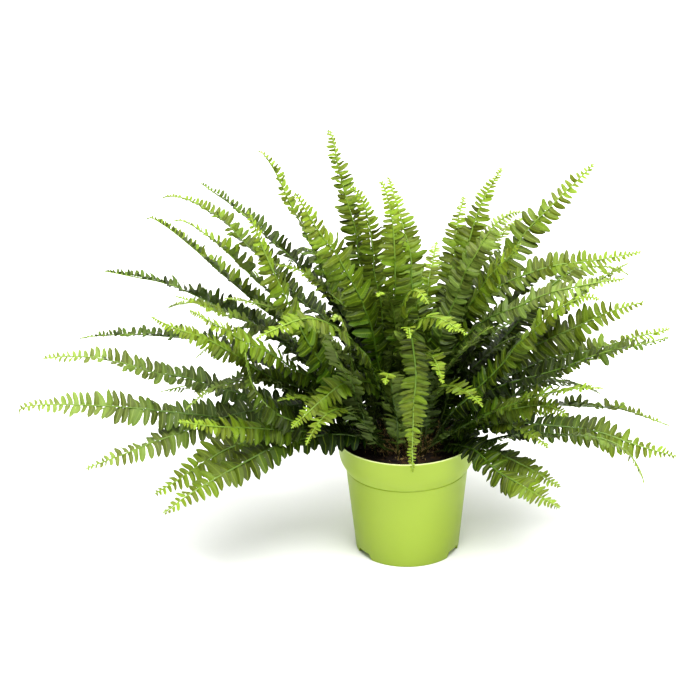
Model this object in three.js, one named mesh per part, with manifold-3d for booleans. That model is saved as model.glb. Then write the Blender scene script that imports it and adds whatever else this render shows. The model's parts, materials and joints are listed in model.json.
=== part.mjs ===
import * as THREE from 'three';
import { mergeVertices } from 'three/addons/utils/BufferGeometryUtils.js';
import Module from 'manifold-3d';

// A sword fern in its 12 cm nursery pot. Millimetres, +Z up. The origin is on the pot's axis, on the
// flat underside that the pot stands on, and the plant's front faces -Y.

// Pot: one moulded shell with a flared rim band and a foot cut into three lobes.
const wall = 1.3;
const potHeight = 104.5;
const rimRadius = 60;
const rimRound = 0.6;
const bandLowRadius = 58.2;
const bandLowHeight = 86;
const seamRadius = 52.6;
const seamHeight = 76;
const footRadius = 44.8;
const footBevel = 0.8;
const potSides = 48;

// Foot recesses: the wall is pushed in between the lobes, and drains through a slot.
const recessAngles = [93, 213, 333];
const recessWidth = 21;
const recessHeight = 5;
const recessChamfer = 3;
const recessDepth = 7;
const recessStart = 1;
const slotWidth = 8;
const slotHeight = 2.4;

// Soil and crown: the potting mix, and the low scaly clump that the fronds grow from.
const clearance = 0.3;
const soilLevel = 97.5;
const crownRadius = 42;
const crownRise = 2.4;
const crownDepth = 7;
const crownSides = 24;
const shoulderRadiusShare = 0.6;
const shoulderRiseShare = 0.7;
const footDepth = 5.5;

// Fronds: every one is a stalk and rib with a row of leaflets down each side.
const stalkWidth = 2.3;
const stalkThickness = 2;
const tipWidth = 0.9;
const tipThickness = 0.8;
const leafletThickness = 0.75;
const collarHeight = 101;
const feetRadius = 38;
const goldenAngle = 137.508;
const leafletPitch = 23.3;
const bareShare = 0.16;
const bareSections = 2;
const lastPitchShare = 0.7;
const turnedShare = 0.45;

// Leaflets: their lengths along the blade, how they hang, and what they keep clear of.
const firstLeafletShare = 0.6;
const leafletGrowth = 1.2;
const endOfBlade = 1.05;
const tipTaperShare = 0.32;
const tipTaperPower = 0.8;
const lengthVariation = [0.92, 1.06];
const forwardSweep = 0.25;
const youngLeaflet = 13;
const youngLift = 8;
const liftVariation = 7;
const bends = [0, 22, -22, 44, -44];
const sizes = [1, 0.72, 0.45];
const rimKeepOut = 1.5;
const leafletPad = 0.65;
const ribPadShare = 0.65;

// One row per frond, in the order of its foot's place, from the middle of the crown outwards:
// heading in degrees from +X, reach and tip height, where the arch bends (share of the reach, and
// height), leaflet length, roll of the blade and lift of its leaflets in degrees, and its age.
const fronds = [
  [175, 220, 295, 1, 315, 15, 10, 40, 'grown'],
  [2, 200, 265, 0, 245, 16, 25, 5, 'grown'],
  [4, 95, 305, 0.6, 315, 15, 45, -8, 'pale'],
  [21, 165, 325, 0, 185, 18, 30, 0, 'grown'],
  [-144, 210, 175, 0.25, 120, 15, -40, -8, 'young'],
  [-6, 170, 255, 0.05, 230, 15, 20, 0, 'pale'],
  [166, 175, 315, 0.2, 220, 15, 0, 28, 'dark'],
  [-164, 85, 335, 0.15, 205, 17, -70, -8, 'young'],
  [115, 65, 315, 0, 260, 15, 0, 10, 'young'],
  [160, 115, 345, 0.9, 355, 16, 0, 20, 'young'],
  [-171, 195, 315, 0.9, 330, 17, 0, 30, 'grown'],
  [15, 235, 170, 0, 135, 16, 25, 0, 'grown'],
  [-172, 310, 150, 1, 175, 17, -35, 0, 'pale'],
  [-7, 200, 205, 0, 140, 16, 5, 10, 'dark'],
  [165, 215, 115, 0.1, 175, 15, 0, -8, 'dark'],
  [-136, 125, 160, 0.1, 220, 14, -40, -8, 'young'],
  [49, 200, 120, 0.55, 225, 16, 15, -8, 'grown'],
  [-165, 255, 105, 0.15, 175, 18, -30, -8, 'pale'],
  [-32, 135, 160, 0.75, 180, 14, 50, -8, 'young'],
  [155, 235, 280, 0.75, 305, 15, 0, 25, 'grown'],
  [-150, 125, 335, 0.6, 180, 16, -60, -8, 'young'],
  [45, 225, 70, 0.45, 155, 15, 0, -8, 'dark'],
  [147, 205, 125, 0.6, 225, 16, -10, -8, 'grown'],
  [150, 30, 335, 0.55, 340, 15, -30, 10, 'young'],
  [66, 185, 200, 0.6, 295, 16, 0, -8, 'grown'],
  [175, 255, 190, 0.5, 220, 15, 5, 30, 'dark'],
  [-31, 120, 90, 0, 135, 14, 30, -8, 'grown'],
  [-139, 210, 265, 0.9, 250, 13, -50, -8, 'young'],
  [-130, 86, 255, 0.5, 120, 13, 0, -8, 'pale'],
  [0, 175, 220, 0, 165, 18, 45, -8, 'grown'],
  [-179, 225, 255, 0.35, 225, 16, 10, 35, 'dark'],
  [-24, 150, 260, 0.8, 275, 15, 40, -8, 'grown'],
  [96, 165, 215, 0.6, 295, 16, 10, -8, 'grown'],
  [-162, 190, 245, 0, 125, 13, -30, -8, 'grown'],
  [49, 80, 325, 0.15, 265, 15, 10, 5, 'grown'],
  [-180, 25, 320, 0, 315, 15, -60, 5, 'grown'],
  [-134, 165, 255, 0.3, 275, 15, -20, -8, 'grown'],
  [72, 100, 280, 0.25, 205, 15, 0, 10, 'grown'],
  [-56, 140, 245, 0.35, 265, 15, 20, -8, 'young'],
  [-52, 155, 105, 0.1, 125, 15, 30, -8, 'grown'],
  [122, 195, 185, 0.8, 280, 16, 0, -8, 'dark'],
  [-151, 205, 95, 0.3, 165, 18, -30, -8, 'grown'],
  [8, 200, 95, 0.35, 155, 15, -10, 20, 'grown'],
  [-129, 155, 225, 1, 150, 15, -60, -8, 'dark'],
  [-97, 55, 110, 1, 355, 13, 0, -8, 'grown'],
  [80, 210, 95, 0.5, 195, 17, 0, 10, 'dark'],
  [-159, 190, 90, 0.25, 165, 18, -35, -8, 'grown'],
  [-8, 195, 100, 0.35, 140, 17, 35, -8, 'grown'],
  [130, 75, 350, 0.9, 400, 15, 0, 5, 'grown'],
  [-50, 40, 250, 0, 295, 15, 20, -8, 'young'],
  [-54, 105, 300, 0.05, 200, 17, 70, -8, 'young'],
  [-175, 270, 185, 0.8, 195, 17, -15, 15, 'pale'],
  [-19, 180, 100, 0.95, 170, 12, -20, -8, 'pale'],
  [106, 210, 125, 0.55, 235, 17, -10, -8, 'grown'],
  [-130, 50, 235, 0.8, 260, 13, -40, -8, 'pale'],
  [33, 190, 210, 0.5, 275, 15, 10, -8, 'grown'],
  [152, 210, 175, 0.65, 220, 13, 0, 30, 'pale'],
];

// Young fronds fill the clump, each joined at its foot to an older frond. One row each: that frond's
// place, then the young one's heading, reach and tip height, and where its arch bends.
const youngFronds = [
  [0, 165, 120, 250, 0.3, 240],
  [5, -30, 70, 220, 0.5, 200],
  [7, -115, 40, 250, 0, 260],
  [8, 80, 80, 250, 0.3, 240],
  [13, -10, 70, 220, 0.5, 200],
  [15, -85, 70, 230, 0.5, 260],
  [17, -170, 70, 220, 0.5, 200],
  [19, 95, 80, 170, 0.1, 180],
  [21, 10, 80, 190, 0.3, 180],
  [23, -75, 90, 200, 0.1, 240],
  [26, 20, 140, 250, 0.3, 240],
  [27, 115, 110, 200, 0.5, 180],
  [28, -170, 140, 250, 0.3, 240],
  [29, 35, 80, 190, 0.1, 240],
  [31, -55, 80, 170, 0.1, 200],
  [32, 50, 160, 250, 0.3, 240],
  [33, -145, 100, 170, 0.5, 180],
  [34, 10, 160, 250, 0.6, 220],
  [35, 135, 80, 170, 0.5, 240],
  [37, 55, 110, 170, 0.5, 180],
  [39, -35, 110, 130, 0.6, 160],
  [41, -125, 110, 150, 0.6, 200],
  [43, 155, 80, 110, 0.2, 150],
  [44, -25, 160, 190, 0.5, 180],
  [45, 70, 110, 140, 0.2, 180],
  [46, -170, 160, 250, 0.2, 200],
  [47, -15, 80, 140, 0.2, 160],
  [49, -100, 55, 190, 0.4, 210],
  [50, 5, 140, 160, 0.8, 160],
  [53, 90, 110, 110, 0.6, 150],
  [54, -165, 160, 160, 0.6, 220],
  [55, 5, 90, 110, 0.6, 150],
  [56, -175, 140, 190, 0.8, 160],
];
const greens = { young: '#9bc53a', grown: '#5f8f1e', dark: '#3c6416', pale: '#8aa85c' };

const wasm = await Module();
wasm.setup();

const radians = THREE.MathUtils.degToRad;

// The same random numbers on every run.
let seed = 20;
function random(low, high) {
  seed = (seed * 16807) % 2147483647;
  return low + ((high - low) * seed) / 2147483647;
}

// A closed geometry becomes a solid, and a solid becomes a geometry again.
function solid(geometry) {
  const bare = geometry.clone();
  bare.deleteAttribute('normal');
  bare.deleteAttribute('uv');
  const merged = mergeVertices(bare, 1e-4);
  return new wasm.Manifold(new wasm.Mesh({
    numProp: 3,
    vertProperties: new Float32Array(merged.attributes.position.array),
    triVerts: new Uint32Array(merged.index.array),
  }));
}

function geometryOf(manifold) {
  const mesh = manifold.getMesh();
  const geometry = new THREE.BufferGeometry();
  geometry.setAttribute('position', new THREE.BufferAttribute(mesh.vertProperties, 3));
  geometry.setIndex(new THREE.BufferAttribute(mesh.triVerts, 1));
  return geometry;
}

// A solid of revolution round +Z from points of radius and height.
function turned(points, sides) {
  const profile = points.map(([radius, height]) => new THREE.Vector2(radius, height));
  return solid(new THREE.LatheGeometry(profile, sides).rotateX(Math.PI / 2));
}

// The pot's outside, drawn in by an inset and cut off level at a height.
function cupProfile(inset, top) {
  const share = (top - bandLowHeight) / (potHeight - bandLowHeight);
  const topRadius = THREE.MathUtils.lerp(bandLowRadius, rimRadius, share) - inset;
  return [
    [0, inset],
    [footRadius - inset, inset],
    [seamRadius - inset, seamHeight],
    [bandLowRadius - inset, bandLowHeight],
    [topRadius, top],
    [0, top],
  ];
}

function potBody() {
  return turned([
    [0, 0],
    [footRadius - footBevel, 0],
    [footRadius, footBevel],
    [seamRadius, seamHeight],
    [bandLowRadius, bandLowHeight],
    [rimRadius, potHeight - rimRound],
    [rimRadius - rimRound, potHeight],
    [0, potHeight],
  ], potSides);
}

// The space of one foot recess, grown on every side for the wall behind it. It starts below the
// foot and ends outside the pot.
function recess(angle, grow) {
  const low = recessWidth / 2 + grow;
  const high = low - recessChamfer;
  const outline = new THREE.Shape([
    new THREE.Vector2(-low, -recessStart),
    new THREE.Vector2(low, -recessStart),
    new THREE.Vector2(high, recessHeight + grow),
    new THREE.Vector2(-high, recessHeight + grow),
  ]);
  const depth = recessDepth * 2 + grow;
  const block = new THREE.ExtrudeGeometry(outline, { depth, bevelEnabled: false });
  block.rotateX(Math.PI / 2).rotateZ(Math.PI / 2);
  block.translate(footRadius - recessDepth - grow, 0, 0).rotateZ(radians(angle));
  return solid(block);
}

// The drain slot through the back of a recess.
function slot(angle) {
  const block = new THREE.BoxGeometry(recessDepth, slotWidth, slotHeight);
  block.translate(footRadius - recessDepth, 0, wall + slotHeight / 2 + clearance);
  return solid(block.rotateZ(radians(angle)));
}

function makePot() {
  let cavity = turned(cupProfile(wall, potHeight + 1), potSides);
  let pot = potBody();
  for (const angle of recessAngles) {
    cavity = cavity.subtract(recess(angle, wall));
    pot = pot.subtract(recess(angle, 0));
  }
  pot = pot.subtract(cavity);
  for (const angle of recessAngles) {
    pot = pot.subtract(slot(angle));
  }
  return geometryOf(pot);
}

function makeSoil() {
  let soil = turned(cupProfile(wall + clearance, soilLevel), potSides);
  for (const angle of recessAngles) {
    soil = soil.subtract(recess(angle, wall + clearance));
  }
  const dish = new THREE.CylinderGeometry(crownRadius, crownRadius, crownDepth * 2, crownSides);
  dish.rotateX(Math.PI / 2).translate(0, 0, soilLevel);
  return geometryOf(soil.subtract(solid(dish)));
}

// Feet stand on a golden-angle spiral, evenly spread over the crown.
function footOf(place) {
  const radius = feetRadius * Math.sqrt((place + 0.5) / fronds.length);
  const angle = radians(goldenAngle * place);
  return new THREE.Vector3(radius * Math.cos(angle), radius * Math.sin(angle), collarHeight);
}

function makeCrown() {
  const radius = crownRadius - clearance;
  let crown = turned([
    [0, soilLevel - crownDepth + clearance],
    [radius, soilLevel - crownDepth + clearance],
    [radius, soilLevel],
    [radius * shoulderRadiusShare, soilLevel + crownRise * shoulderRiseShare],
    [0, soilLevel + crownRise],
  ], crownSides);
  fronds.forEach(([heading], place) => {
    const hole = new THREE.BoxGeometry(
      stalkThickness + 2 * clearance, stalkWidth + 2 * clearance, footDepth * 2 + crownRise);
    const foot = footOf(place);
    hole.rotateZ(radians(heading)).translate(foot.x, foot.y, soilLevel + crownRise / 2);
    crown = crown.subtract(solid(hole));
  });
  return geometryOf(crown);
}

// The line of one frond: one arch from the collar to the tip, with a section at the collar, along the
// bare stalk and at the root of every leaflet. A stalk also goes straight down into the crown.
function makeRib([heading, reach, tipHeight, lean, archHeight, leaflet, roll, lift], place, inCrown) {
  const foot = footOf(place);
  const out = new THREE.Vector3(Math.cos(radians(heading)), Math.sin(radians(heading)), 0);
  const level = new THREE.Vector3(-out.y, out.x, 0);
  const bend = foot.clone().addScaledVector(out, reach * lean).setZ(archHeight);
  const tip = foot.clone().addScaledVector(out, reach).setZ(tipHeight);
  const arch = new THREE.QuadraticBezierCurve3(foot, bend, tip);
  const pairs = Math.round((arch.getLength() * (1 - bareShare)) / leafletPitch);

  const shares = [];
  for (let step = 1; step <= bareSections; step += 1) {
    shares.push((bareShare * step) / bareSections);
  }
  for (let pair = 1; pair <= pairs; pair += 1) {
    shares.push(bareShare + ((1 - bareShare) * pair) / (pairs + lastPitchShare));
  }

  const section = (center, along, share) => {
    const turn = radians(roll) * THREE.MathUtils.smoothstep(share, 0, turnedShare);
    const up = along.clone().cross(level).normalize();
    return {
      center,
      along,
      side: level.clone().multiplyScalar(Math.cos(turn)).addScaledVector(up, Math.sin(turn)),
      up: up.clone().multiplyScalar(Math.cos(turn)).addScaledVector(level, -Math.sin(turn)),
      width: THREE.MathUtils.lerp(stalkWidth, tipWidth, share),
      thickness: THREE.MathUtils.lerp(stalkThickness, tipThickness, share),
      share,
    };
  };
  const upward = new THREE.Vector3(0, 0, 1);
  const bottom = foot.clone().setZ(soilLevel - footDepth + clearance);
  const sections = [
    section(foot, upward.clone().add(arch.getTangentAt(0)).normalize(), 0),
    ...shares.map((share) => section(arch.getPointAt(share), arch.getTangentAt(share), share)),
  ];
  if (inCrown) {
    sections.unshift(section(bottom, upward, 0));
  }
  return { sections, pairs, leaflet, lift, tip, leaflets: new Map() };
}

// Leaflets are short at the foot of the blade, full in its middle and tiny at the tip.
function leafletShare(along) {
  const taper = Math.pow((endOfBlade - along) / tipTaperShare, tipTaperPower);
  return Math.min(firstLeafletShare + leafletGrowth * along, 1, taper);
}

// A thing to stay clear of: its corners, its edges, the face between them and its half thickness.
function obstacle(corners, pad, rib) {
  const edges = corners.length === 2
    ? [new THREE.Line3(corners[0], corners[1])]
    : corners.map((corner, index) => new THREE.Line3(corner, corners[(index + 1) % 3]));
  const face = corners.length === 3 ? new THREE.Triangle(...corners) : null;
  return { corners, edges, face, pad, rib, box: new THREE.Box3().setFromPoints(corners) };
}

const nearest = new THREE.Vector3();
const crossing = new THREE.Vector3();
const ray = new THREE.Ray();

function reachesFace(thing, face, gap) {
  return thing.corners.some((corner) => (
    face.closestPointToPoint(corner, nearest).distanceTo(corner) < gap))
    || thing.edges.some((edge) => {
      ray.origin.copy(edge.start);
      edge.delta(ray.direction).normalize();
      const hit = ray.intersectTriangle(face.a, face.b, face.c, false, crossing);
      return hit !== null && hit.distanceTo(edge.start) < edge.distance();
    });
}

function tooNear(one, other) {
  const gap = one.pad + other.pad + clearance;
  if (!one.box.clone().expandByScalar(gap).intersectsBox(other.box)) {
    return false;
  }
  return one.edges.some((edge) => other.edges.some((line) => (
    edge.distanceSqToLine3(line) < gap * gap)))
    || (other.face !== null && reachesFace(one, other.face, gap))
    || (one.face !== null && reachesFace(other, one.face, gap));
}

// Nothing but stalks goes below the rim inside the pot, and nothing touches the rim.
function inPot(leaf) {
  const samples = leaf.edges.flatMap((edge) => [0, 0.25, 0.5, 0.75].map((share) => (
    edge.at(share, new THREE.Vector3()))));
  return samples.some((point) => (
    point.z < potHeight + rimKeepOut && Math.hypot(point.x, point.y) < rimRadius + rimKeepOut));
}

// The corners of one side of a section, above and below.
function corner(section, hand, level) {
  return section.center.clone()
    .addScaledVector(section.side, (hand * section.width) / 2)
    .addScaledVector(section.up, (level * section.thickness) / 2);
}

// A leaflet between two sections: its point is bent up or down from the blade and swept forward.
function leafletAt(rib, index, hand, length, bendAngle) {
  const from = rib.sections[index];
  const to = rib.sections[index + 1];
  const outward = from.side.clone().multiplyScalar(hand * Math.cos(bendAngle))
    .addScaledVector(from.up, Math.sin(bendAngle));
  const above = from.up.clone().multiplyScalar(Math.cos(bendAngle))
    .addScaledVector(from.side, -hand * Math.sin(bendAngle));
  const root = corner(from, hand, 0).lerp(corner(to, hand, 0), 0.5);
  const point = root.addScaledVector(outward, length)
    .addScaledVector(from.along, length * forwardSweep);
  return {
    point,
    above,
    thing: obstacle([corner(from, hand, 0), corner(to, hand, 0), point], leafletPad, rib),
  };
}

// Every leaflet, from the tips inwards, takes the first bend and size that keeps it clear of all
// its neighbours, and stays off where none does.
function placeLeaflets(ribs) {
  const taken = ribs.flatMap((rib) => rib.sections.map((section, index) => {
    const end = rib.sections[index + 1]?.center ?? rib.tip;
    return obstacle([section.center, end], section.width * ribPadShare, rib);
  }));
  const waiting = [];
  for (const rib of ribs) {
    for (let rank = 0; rank < rib.pairs; rank += 1) {
      waiting.push({ rib, rank, hand: -1 }, { rib, rank, hand: 1 });
    }
  }
  waiting.sort((one, other) => one.rank - other.rank);
  for (const { rib, rank, hand } of waiting) {
    const size = leafletShare(1 - rank / rib.pairs) * random(...lengthVariation);
    const full = rib.leaflet * size;
    const lift = rib.lift + random(-liftVariation, liftVariation);
    const index = rib.sections.length - 2 - rank;
    const choices = sizes.flatMap((share) => bends.map((bend) => (
      leafletAt(rib, index, hand, full * share, radians(lift + bend)))));
    const leaf = choices.find(({ thing }) => !inPot(thing) && !taken.some((other) => (
      other.rib !== rib && tooNear(thing, other))));
    if (leaf) {
      rib.leaflets.set(`${index} ${hand}`, leaf);
      taken.push(leaf.thing);
    }
  }
}

// The closed skin of a frond, split into the same triangles on its upper and lower face.
function makeFrond(rib) {
  const positions = [];
  const faces = [];
  const add = (point) => positions.push(point.x, point.y, point.z) / 3 - 1;
  const pointed = (point, above) => [1, -1].map((level) => (
    add(point.clone().addScaledVector(above, (level * leafletThickness) / 2))));
  const rings = rib.sections.map((section) => (
    [[1, 1], [-1, 1], [-1, -1], [1, -1]].map(([hand, level]) => add(corner(section, hand, level)))));

  // A ring's corners are left top, right top, right low, left low.
  rings.slice(1).forEach((next, index) => {
    const ring = rings[index];
    faces.push(ring[1], next[1], next[0], ring[1], next[0], ring[0]);
    faces.push(next[3], next[2], ring[2], next[3], ring[2], ring[3]);
    for (const hand of [1, -1]) {
      const [top, low] = hand > 0 ? [0, 3] : [1, 2];
      const triangle = (a, b, c) => faces.push(...(hand > 0 ? [a, b, c] : [a, c, b]));
      const leaf = rib.leaflets.get(`${index} ${hand}`);
      if (leaf) {
        const [above, below] = pointed(leaf.point, leaf.above);
        triangle(ring[top], next[top], above);
        triangle(ring[low], below, next[low]);
        triangle(ring[top], above, below);
        triangle(ring[top], below, ring[low]);
        triangle(next[top], next[low], below);
        triangle(next[top], below, above);
      } else {
        triangle(ring[low], ring[top], next[top]);
        triangle(ring[low], next[top], next[low]);
      }
    }
  });

  const foot = rings[0];
  faces.push(foot[1], foot[0], foot[3], foot[1], foot[3], foot[2]);
  const last = rings.at(-1);
  const [above, below] = pointed(rib.tip, rib.sections.at(-1).up);
  faces.push(last[1], above, last[0], last[2], last[3], below);
  faces.push(last[0], above, below, last[0], below, last[3]);
  faces.push(last[1], below, above, last[1], last[2], below);

  const geometry = new THREE.BufferGeometry();
  geometry.setAttribute('position', new THREE.Float32BufferAttribute(positions, 3));
  geometry.setIndex(faces);
  return geometry;
}

const plant = new THREE.Group();

function addPiece(name, geometry, color, roughness) {
  const material = new THREE.MeshStandardMaterial({ color, roughness, metalness: 0 });
  const mesh = new THREE.Mesh(geometry, material);
  mesh.name = name;
  plant.add(mesh);
}

addPiece('pot', makePot(), '#b9dc4b', 0.4);
addPiece('soil', makeSoil(), '#2b1d16', 0.95);
addPiece('crown', makeCrown(), '#6b5330', 0.9);

const ribs = fronds.map((row, place) => makeRib(row, place, true));
const youngRibs = youngFronds.map(([place, ...row]) => (
  makeRib([...row, youngLeaflet, 0, youngLift], place, false)));
placeLeaflets([...ribs, ...youngRibs]);
ribs.forEach((rib, place) => {
  const name = `frond_${String(place + 1).padStart(2, '0')}`;
  const joined = youngFronds.findIndex(([foot]) => foot === place);
  const frond = joined < 0
    ? makeFrond(rib)
    : geometryOf(solid(makeFrond(rib)).add(solid(makeFrond(youngRibs[joined]))));
  addPiece(name, frond, greens[fronds[place].at(-1)], 0.5);
});

export default plant;
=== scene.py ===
import json
from math import cos, pi, radians, sin, sqrt
from random import Random

import bmesh
import bpy
from mathutils import Matrix, Vector

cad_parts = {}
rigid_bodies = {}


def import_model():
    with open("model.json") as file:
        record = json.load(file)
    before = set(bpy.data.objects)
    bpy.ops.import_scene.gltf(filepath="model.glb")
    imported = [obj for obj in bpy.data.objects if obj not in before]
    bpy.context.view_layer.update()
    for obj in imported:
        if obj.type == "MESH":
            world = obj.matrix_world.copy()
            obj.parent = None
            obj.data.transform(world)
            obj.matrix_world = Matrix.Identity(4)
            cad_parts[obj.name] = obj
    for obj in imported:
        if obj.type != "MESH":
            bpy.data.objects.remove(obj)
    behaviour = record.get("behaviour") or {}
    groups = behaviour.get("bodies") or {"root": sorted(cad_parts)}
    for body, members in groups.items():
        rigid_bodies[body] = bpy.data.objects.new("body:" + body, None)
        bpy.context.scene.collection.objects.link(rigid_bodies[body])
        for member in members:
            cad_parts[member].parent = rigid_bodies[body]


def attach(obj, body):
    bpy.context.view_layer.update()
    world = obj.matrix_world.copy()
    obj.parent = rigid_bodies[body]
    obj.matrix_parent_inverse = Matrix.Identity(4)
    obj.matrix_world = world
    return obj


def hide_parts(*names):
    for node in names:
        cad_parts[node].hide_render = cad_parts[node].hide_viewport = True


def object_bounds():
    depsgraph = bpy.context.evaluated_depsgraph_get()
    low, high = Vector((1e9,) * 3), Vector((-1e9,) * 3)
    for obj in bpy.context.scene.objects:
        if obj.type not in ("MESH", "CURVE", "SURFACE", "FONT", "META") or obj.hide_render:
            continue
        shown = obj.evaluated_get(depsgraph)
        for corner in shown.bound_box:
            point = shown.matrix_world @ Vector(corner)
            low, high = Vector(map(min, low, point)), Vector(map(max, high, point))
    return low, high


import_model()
cad_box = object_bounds()
mm = 0.001


# ---- The pot -------------------------------------------------------------------------------------
# A 12 cm nursery pot, injection moulded in one piece from lime green polypropylene 1.3 mm thick: a
# flared rim band over a slim groove, straight walls, and a foot pushed in at three places to drain.

pot_height = 104.5 * mm
rim_radius = 60 * mm
band_radius = 58.2 * mm
band_height = 86 * mm
seam_radius = 52.6 * mm
seam_height = 76 * mm
groove = 0.65 * mm
foot_radius = 44.8 * mm
wall = 1.3 * mm
recess_angles = (93, 213, 333)
recess_half_width = 10.5 * mm
recess_chamfer = 3 * mm
recess_height = 5 * mm
recess_depth = 7 * mm
slot_size = (7 * mm, 8 * mm, 2.4 * mm)
slot_height = 2.8 * mm
# Faint moulding marks low on the front of the wall, each an angle and half a width in degrees.
witness_marks = ((-108, 6), (-63, 9))
witness_height = 6.5 * mm
witness_half_height = 0.9 * mm
witness_rise = 0.28 * mm
wall_middle = 20 * mm
# The top of the lip, between these two heights, gets a painted highlight.
lip_highlight_low = pot_height - 1.1 * mm
lip_highlight_high = pot_height - 0.3 * mm
pot_crease = radians(50)
shade_patch = 55.56 * mm
orange_peel = 1.111 * mm
handling_smear = 22.22 * mm
pot_sides = 360


def rounded(corners, steps=4):
    """A line through (radius, height, rounding) corners, each drawn round as a short curve."""
    line = [Vector(corners[0][:2])]
    for before, corner, after in zip(corners, corners[1:], corners[2:]):
        middle = Vector(corner[:2])
        arms = [Vector(end[:2]) - middle for end in (before, after)]
        start, end = (middle + arm * min(corner[2] / max(arm.length, 1e-6), 0.45) for arm in arms)
        for step in range(steps + 1):
            share = step / steps
            near = start.lerp(middle, share)
            line.append(near.lerp(middle.lerp(end, share), share))
    line.append(Vector(corners[-1][:2]))
    return line


def foot_lift(angle):
    """How high the moulded foot is pushed up at an angle round the pot."""
    away = min(abs((angle - middle + 180) % 360 - 180) for middle in recess_angles)
    share = (recess_half_width - radians(away) * foot_radius) / recess_chamfer
    share = min(max(share, 0), 1)
    return recess_height * share * share * (3 - 2 * share)


def wall_radius(height):
    return foot_radius + (seam_radius - foot_radius) * height / seam_height


def pot_outside(angle):
    lift = foot_lift(angle)
    back = foot_radius - recess_depth
    return [
        (0, 0, 0),
        (back - mm, 0, 0.3 * mm),
        (back, lift, 0.4 * mm),
        (wall_radius(lift), lift, 0.8 * mm),
        (wall_radius(wall_middle), wall_middle, 0),
        (seam_radius - 0.1 * mm, seam_height - 0.9 * mm, 0.3 * mm),
        (seam_radius - groove, seam_height - 0.3 * mm, 0.3 * mm),
        (seam_radius + 0.25 * mm, seam_height + 0.3 * mm, 0.4 * mm),
        (band_radius - 0.2 * mm, band_height - 0.6 * mm, 5 * mm),
        (rim_radius, pot_height, 0.7 * mm),
        (rim_radius - wall, pot_height, 0.7 * mm),
    ]


def pot_inside(angle, gap):
    """The cavity's line, drawn in by a gap, from the rim down to the axis."""
    lift = foot_lift(angle) + wall + gap
    inset = wall + gap
    back = foot_radius - recess_depth - inset
    return [
        (band_radius - inset, band_height, 5 * mm),
        (seam_radius - inset, seam_height, 2 * mm),
        (wall_radius(wall_middle) - inset, wall_middle, 0),
        (wall_radius(lift) - inset, lift, 1.5 * mm),
        (back, lift, 0.6 * mm),
        (back - mm, inset, 0.6 * mm),
        (0, inset, 0),
    ]


def mesh_from(name, body):
    mesh = bpy.data.meshes.new(name)
    body.to_mesh(mesh)
    body.free()
    return mesh


def add_object(name, data):
    made = bpy.data.objects.new(name, data)
    bpy.context.scene.collection.objects.link(made)
    return made


def turn_round(name, line_at, sides):
    """A closed body from a line of (radius, height) points at every angle, from axis to axis."""
    body = bmesh.new()
    rings = []
    for side in range(sides):
        angle = 360 * side / sides
        line = line_at(angle)
        if side == 0:
            ends = [body.verts.new((0, 0, line[0].y)), body.verts.new((0, 0, line[-1].y))]
        flat = Vector((cos(radians(angle)), sin(radians(angle)), 0))
        rings.append([body.verts.new(flat * point.x + Vector((0, 0, point.y))) for point in line[1:-1]])
    for ring, following in zip(rings, rings[1:] + rings[:1]):
        body.faces.new((ends[0], following[0], ring[0]))
        body.faces.new((ends[1], ring[-1], following[-1]))
        for row in range(len(ring) - 1):
            body.faces.new((ring[row], following[row], following[row + 1], ring[row + 1]))
    bmesh.ops.recalc_face_normals(body, faces=body.faces)
    return add_object(name, mesh_from(name, body))


def pot_line(angle):
    line = rounded(pot_outside(angle) + pot_inside(angle, 0))
    for middle, half in witness_marks:
        inside = abs((angle - middle + 180) % 360 - 180) < half
        for point in line:
            near = abs(point.y - witness_height) / witness_half_height
            if inside and near < 1 and point.x > foot_radius - wall / 2:
                point.x += witness_rise * (1 - near)
    return line


def finish_mesh(made):
    """Makes the object's evaluated mesh its own, and leaves no modifier on it."""
    result = bpy.data.meshes.new_from_object(made.evaluated_get(bpy.context.evaluated_depsgraph_get()))
    made.modifiers.clear()
    made.data = result


pot = turn_round("nursery_pot", pot_line, pot_sides)
slots = bmesh.new()
for angle in recess_angles:
    place = Matrix.Rotation(radians(angle), 4, "Z") @ Matrix.Translation(
        (foot_radius - recess_depth, 0, slot_height))
    bmesh.ops.create_cube(slots, size=1, matrix=place @ Matrix.Diagonal((*slot_size, 1)))
slot_cutter = add_object("slots", mesh_from("slots", slots))
cut = pot.modifiers.new("drain slots", "BOOLEAN")
cut.object = slot_cutter
cut.operation = "DIFFERENCE"
cut.solver = "EXACT"
finish_mesh(pot)
bpy.data.objects.remove(slot_cutter)
pot.data.shade_smooth()
pot.data.set_sharp_from_angle(angle=pot_crease)


def linear(code):
    """A linear colour from an sRGB hex code."""
    parts = [int(code[at:at + 2], 16) / 255 for at in (1, 3, 5)]
    return (*(part / 12.92 if part <= 0.04045 else ((part + 0.055) / 1.055) ** 2.4 for part in parts), 1)


def put(tree, kind, inputs=(), **settings):
    """Adds a node with its settings, its values and its links. A node given as a value is linked by
    its first output that is in use."""
    made = tree.nodes.new(kind)
    for key, value in settings.items():
        setattr(made, key, value)
    for key, value in dict(inputs).items():
        if isinstance(value, bpy.types.Node):
            value = next(output for output in value.outputs if output.enabled)
        if isinstance(value, bpy.types.NodeSocket):
            tree.links.new(value, made.inputs[key])
        else:
            made.inputs[key].default_value = value
    return made


def new_finish(name):
    """A new material, its node tree and its shader."""
    made = bpy.data.materials.new(name)
    made.use_nodes = True
    return made, made.node_tree, made.node_tree.nodes["Principled BSDF"]
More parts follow.
